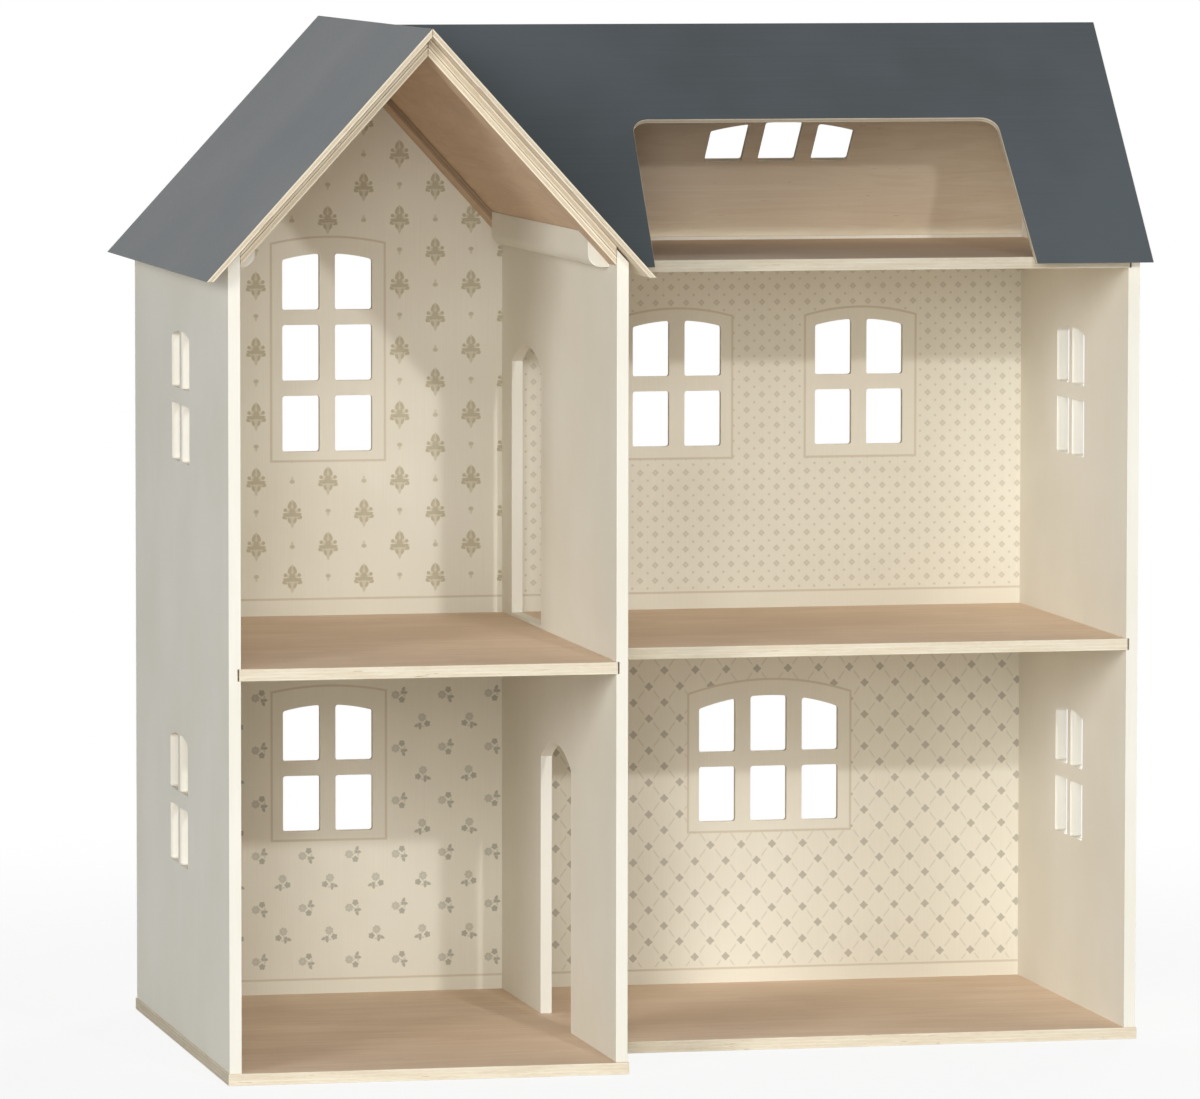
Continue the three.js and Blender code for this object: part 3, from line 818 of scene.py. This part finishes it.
# %% [markdown]
# ### Sprigs for the lower left room
# Small sprigs of two round blossoms and a few leaves, half-dropped. On real paper of this kind
# every second sprig is the other way round, and every second column lies on its side. A sign that
# changes from cell to cell does the first, and swapping x with z does the second, so only one
# sprig is drawn.

# %% Sprigs
def blossom(finish, u, v, at, size, scallops):
    """A round flower with a scalloped edge."""
    a, b = u - at[0], v - at[1]
    around = finish.sum("ARCTAN2", b, a)
    return finish.reach(a, b) - finish.sum("COSINE", around * scallops) * 0.28 - size


def sprig(finish, u, v):
    big = blossom(finish, u, v, (0.3, 3.0), 3.15, 7.0)
    small = blossom(finish, u, v, (-3.7, -2.0), 2.3, 5.0)
    leaves = finish.least(
        petal(finish, u, v, (2.2, -2.5), (1.15, 1.5), -35.0, 0.8),
        petal(finish, u, v, (4.9, -3.5), (1.2, 1.8), -112.0, 0.7),
        petal(finish, u, v, (2.0, -5.0), (1.15, 1.6), 175.0, 0.7),
    )
    stalks = finish.least(
        petal(finish, u, v, (0.9, -1.2), (0.6, 2.4), 22.0),
        petal(finish, u, v, (0.2, -4.2), (1.9, 0.8)),
    )
    eye = finish.step(finish.reach(u - 0.3, v - 3.0), 0.5, 1.4, 0.8, 1.0)
    pale = finish.most(
        finish.step(big, 0.4, -0.4) * eye * 0.68, finish.step(stalks, 0.4, -0.3) * 0.4
    )
    deep = finish.step(finish.least(small, leaves), 0.4, -0.3)
    return finish.most(pale, deep)


def sprigs(finish, x, z):
    column_step, row_step = 37.4, 41.9

    def scattered(start_x, start_z):
        """Place in the nearest cell, and a sign that changes from each cell to the next."""
        a, column = cell(finish, x, column_step, start_x)
        b, row = cell(finish, z, row_step, start_z)
        return a, b, every_second(finish, column + row) * 2.0 - 1.0

    a, b, sign = scattered(31.9, 88.9)
    side_a, side_b, side_sign = scattered(13.2, 68.0)
    return finish.most(sprig(finish, a * sign, b), sprig(finish, side_b * side_sign, -side_a))


print("sprigs ready")

# %% [markdown]
# ### Spots for the upper right room
# A small square net: a lozenge at each crossing and a dot in the middle of each square. Its ink
# is much thinner than the others', so from across a room it reads as a tint.

# %% Spots
def spots(finish, x, z):
    net_x, net_z = 12.35, 12.25

    def nearest(start_x, start_z):
        return fold(finish, x, net_x, start_x), fold(finish, z, net_z, start_z)

    a, b = nearest(3.85, 10.5)
    dot_a, dot_b = nearest(10.02, 4.37)
    square_reach = abs(a) + abs(b)
    lozenge = square_reach - 2.7
    eye = finish.step(square_reach, 0.4, 1.3, 0.5, 1.0)
    dot = finish.reach(dot_a, dot_b) - 0.9
    ink = finish.most(finish.step(lozenge, 0.7, -0.5) * eye, finish.step(dot, 0.5, -0.4))
    return ink * 0.58


print("spots ready")

# %% [markdown]
# ### Trellis for the lower right room
# Two sets of slanting lines cross in a diamond net. A small four-lobed flower sits on each
# crossing, and each line is broken near the flowers, so only a short curved dash is left in the
# middle of each side.

# %% Trellis
def trellis(finish, x, z):
    wide, high = 25.2, 25.55
    quarter = wide / 4
    diagonal = 0.71

    def crossings(start_x, start_z):
        return abs(fold(finish, x, wide, start_x)), abs(fold(finish, z, high, start_z))

    def flower(a, b):
        lobes = finish.least(finish.reach(a - 2.2, b) - 0.95, finish.reach(a, b - 2.2) - 0.95)
        return finish.least(lobes, (a + b - 3.3) * diagonal)

    a, b = crossings(21.8, 97.8)
    flowers = finish.least(flower(a, b), flower(*crossings(9.2, 85.0)))
    bow = finish.sum("SINE", a * (math.pi / quarter)) * 0.7
    line = abs(a - b * (wide / high) - bow) * diagonal
    dashes = finish.step(line, 0.95, 0.4) * finish.step(abs(a - quarter), 2.9, 1.9)
    return finish.most(finish.step(flowers, 0.45, -0.3), dashes * 0.38)


print("trellis ready")

# %% [markdown]
# ### A paper for each room
# Each paper is one finish: its pattern, its ink, the frames printed round its windows and the
# height of its skirting line. A frame is given by the middle of the window, half its width, its
# foot, the top of its sides, and how far the arch rises above those. All are in millimetres from
# the room's left face and the top of its floor.

# %% Papers
UPPER_SKIRTING = 13.0
LOWER_SKIRTING = 11.5
left_upper = (143.4, 45.4, 121.8, 292.8, 5.2)
left_lower = (143.7, 45.8, 122.0, 239.6, 4.7)
right_lower = (208.5, 66.4, 121.0, 231.7, 10.9)
right_upper = [(middle_x, 45.3, 119.6, 232.3, 6.5) for middle_x in (132.0, 281.9)]

damask_ink = shade(189, 180, 151)
sprig_ink = shade(184, 181, 166)
spot_ink = shade(196, 188, 168)
trellis_ink = shade(192, 187, 172)

papers = {}
for name, room_x, floor_z, motif, ink, frames, skirting in (
    ("paper_damask", left_room_x, upper_z, damask, damask_ink, [left_upper], UPPER_SKIRTING),
    ("paper_sprigs", left_room_x, ground_z, sprigs, sprig_ink, [left_lower], LOWER_SKIRTING),
    ("paper_spots", right_room_x, upper_z, spots, spot_ink, right_upper, UPPER_SKIRTING),
    ("paper_trellis", right_room_x, ground_z, trellis, trellis_ink, [right_lower], LOWER_SKIRTING),
):
    papers[name] = paper(name, room_x, floor_z, motif, ink, frames, skirting)
print("papers", sorted(papers))

# %% [markdown]
# ### The two back walls
# Each board is cut along the middle of the floors in front of it, where nobody can see the cut,
# and each storey takes its own print. Above the attic floor only a low strip of the right wall
# shows, and it is plain.

# %% Back wall boards
BACK_SHEET = (5.0, 3)
UPRIGHT = (math.pi / 2, 0.0, 0.0)
storey_tops = [middle(floor).z for floor in ("floor_left_first", "floor_attic")]


def papered_wall(node, prints):
    """A back wall with one print for each storey, from the ground up. None leaves it plain."""
    centre = middle(node)
    plain = cream_paint(node + "_plain", centre)
    edge = ply_edge(node + "_edge", centre, UPRIGHT, BACK_SHEET, plain=0.4)
    tops = storey_tops[: len(prints) - 1]
    outside, cut_sides = len(prints), len(prints) + 1

    def choose(face):
        if face.normal.y < -0.95:
            return sum(face.calc_center_median().z > top for top in tops)
        return outside if face.normal.y > 0.95 else cut_sides

    def cut(shape):
        for top in tops:
            bmesh.ops.bisect_plane(
                shape,
                geom=shape.verts[:] + shape.edges[:] + shape.faces[:],
                dist=1e-7,
                plane_co=(0.0, 0.0, top),
                plane_no=(0.0, 0.0, 1.0),
            )
        # A cut leaves the faces in no fixed order, so they are put in the order of their places.
        in_order = sorted(shape.faces, key=lambda face: tuple(face.calc_center_median()))
        for number, face in enumerate(in_order):
            face.index = number
        shape.faces.sort()

    finishes = [papers[name] if name else plain for name in prints] + [plain, edge]
    return board_piece(node, finishes, choose, THIN_EASE, cut)


papered_wall("back_wall_left", ["paper_sprigs", "paper_damask"])
papered_wall("back_wall_right", ["paper_trellis", "paper_spots", None])

# %% [markdown]
# ## The table it stands on
# A plain pale floor under the house. It keeps the house's soft shadow and fades out to the white
# background between half a metre and a metre and a half from the middle, so that no edge of it
# shows. For the camera most of it glows white, which lifts the lit floor nearly to the
# background's white and leaves the shadow.

# %% Floor
FLOOR_GREY = (0.86, 0.86, 0.86, 1.0)
GLOW = 0.88
FADE_START, FADE_END = 500.0, 1500.0

floor_shape = bmesh.new()
bmesh.ops.create_circle(floor_shape, cap_ends=True, radius=3.0, segments=96)
floor_mesh = bpy.data.meshes.new("studio_floor")
floor_shape.to_mesh(floor_mesh)
floor_shape.free()
studio_floor = bpy.data.objects.new("studio_floor", floor_mesh)
bpy.context.scene.collection.objects.link(studio_floor)

ground = Finish("studio_floor")
away = ground.reach(*ground.split(ground.place((0.0, 0.0, 0.0)))[:2])
seen = ground.add("ShaderNodeLightPath", out="Is Camera Ray")
matt = ground.add("ShaderNodeBsdfDiffuse", sockets={"Color": FLOOR_GREY})
glow = ground.add("ShaderNodeEmission", sockets={"Color": WHITE})
clear = ground.add("ShaderNodeBsdfTransparent")
lit = ground.add("ShaderNodeMixShader", sockets={0: seen * GLOW, 1: matt, 2: glow})
gone = ground.step(away, FADE_START, FADE_END) * seen
faded = ground.add("ShaderNodeMixShader", sockets={0: gone, 1: lit, 2: clear})
ground.add("ShaderNodeOutputMaterial", sockets={"Surface": faded})
floor_mesh.materials.append(ground.material)
print("floor ready")

# %% [markdown]
# ## The end
# The boards were copied, so the house must still fill the same box. This cell only brings the
# view layer up to date. Both boxes are written down,
# and then the frame is checked and the table of pieces is made.

# %% End
bpy.context.view_layer.update()
